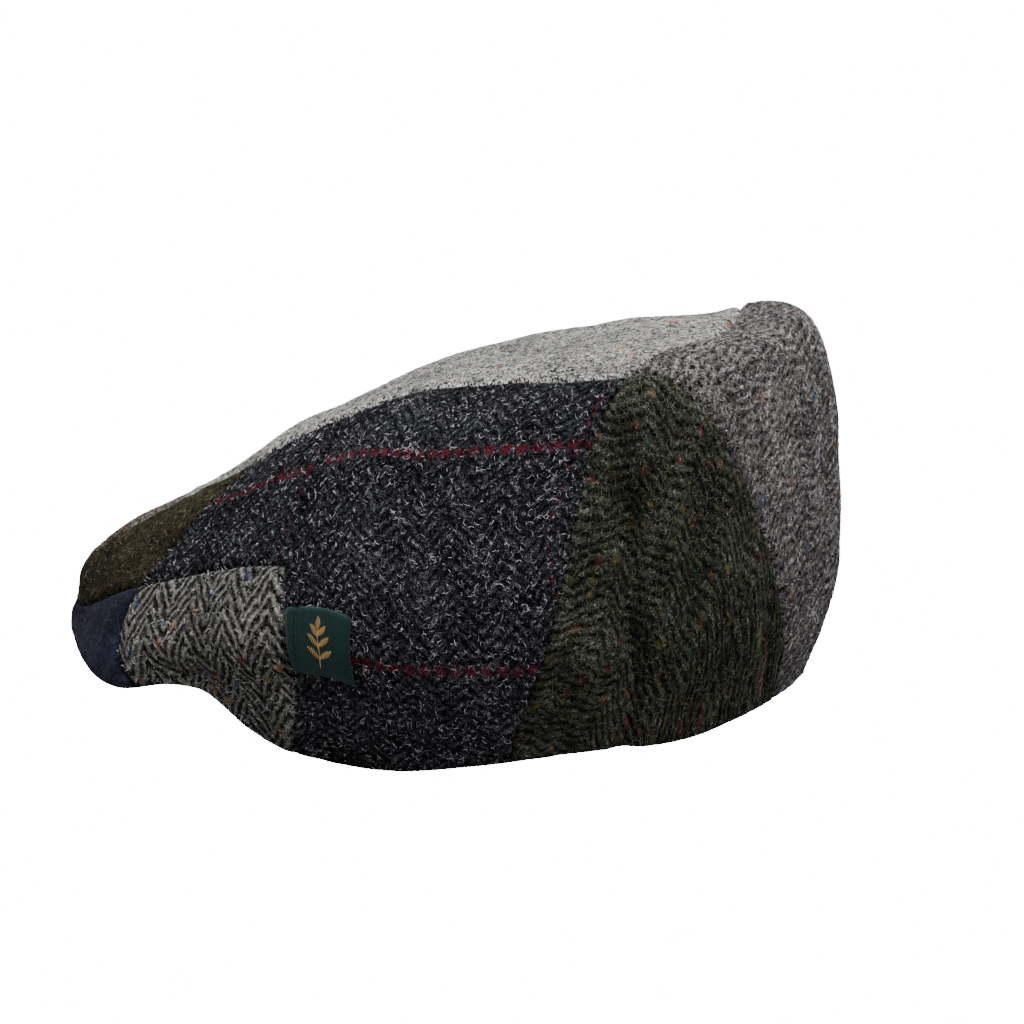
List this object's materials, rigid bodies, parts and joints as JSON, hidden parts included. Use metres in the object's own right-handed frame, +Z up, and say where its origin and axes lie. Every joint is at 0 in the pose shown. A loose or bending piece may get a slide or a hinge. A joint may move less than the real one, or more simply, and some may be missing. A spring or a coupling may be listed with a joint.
{
  "type": "flat cap",
  "caption": "Patchwork tweed flat cap: rounded crown of sewn panels sloping down to a stiff curved peak, open head hollow beneath, small woven label at one temple.",
  "frame": {"origin": "on the ground under the middle of the cap's bounding box, resting on its rim", "axes": "+Z up, -Y to the front where the peak is, +Y to the back, +X to the wearer's left"},
  "size_m": [0.1933, 0.2759, 0.1367],
  "materials": {
    "mauve_brown_tweed": "coarse hairy tweed, matte",
    "cream_marl_tweed": "black and cream marl tweed, matte",
    "mauve_grey_marl_tweed": "marled tweed with a faint overcheck, matte",
    "olive_tweed": "heather tweed, matte",
    "charcoal_marl_tweed": "hairy marled tweed with a red windowpane line, matte",
    "salt_pepper_herringbone": "coarse black and cream herringbone tweed with coloured flecks, matte",
    "green_herringbone_tweed": "dark green herringbone tweed with coloured flecks, matte",
    "navy_felted_wool": "felted wool, matte",
    "peak_lining": "plain dark cloth, matte",
    "label_weave": "fine woven satin, slight sheen"
  },
  "bodies": {
    "root": {"crown_left_back": "green_herringbone_tweed", "crown_left_front": "olive_tweed", "crown_left_side": "charcoal_marl_tweed", "crown_left_temple": "salt_pepper_herringbone", "crown_right_back": "green_herringbone_tweed", "crown_right_front": "olive_tweed", "crown_right_side": "charcoal_marl_tweed", "crown_right_temple": "salt_pepper_herringbone", "crown_top_back": "mauve_grey_marl_tweed", "crown_top_front": "mauve_brown_tweed", "crown_top_middle": "cream_marl_tweed", "peak": "peak_lining", "peak_cover": "navy_felted_wool", "side_label": "label_weave"}
  },
  "joints": []
}
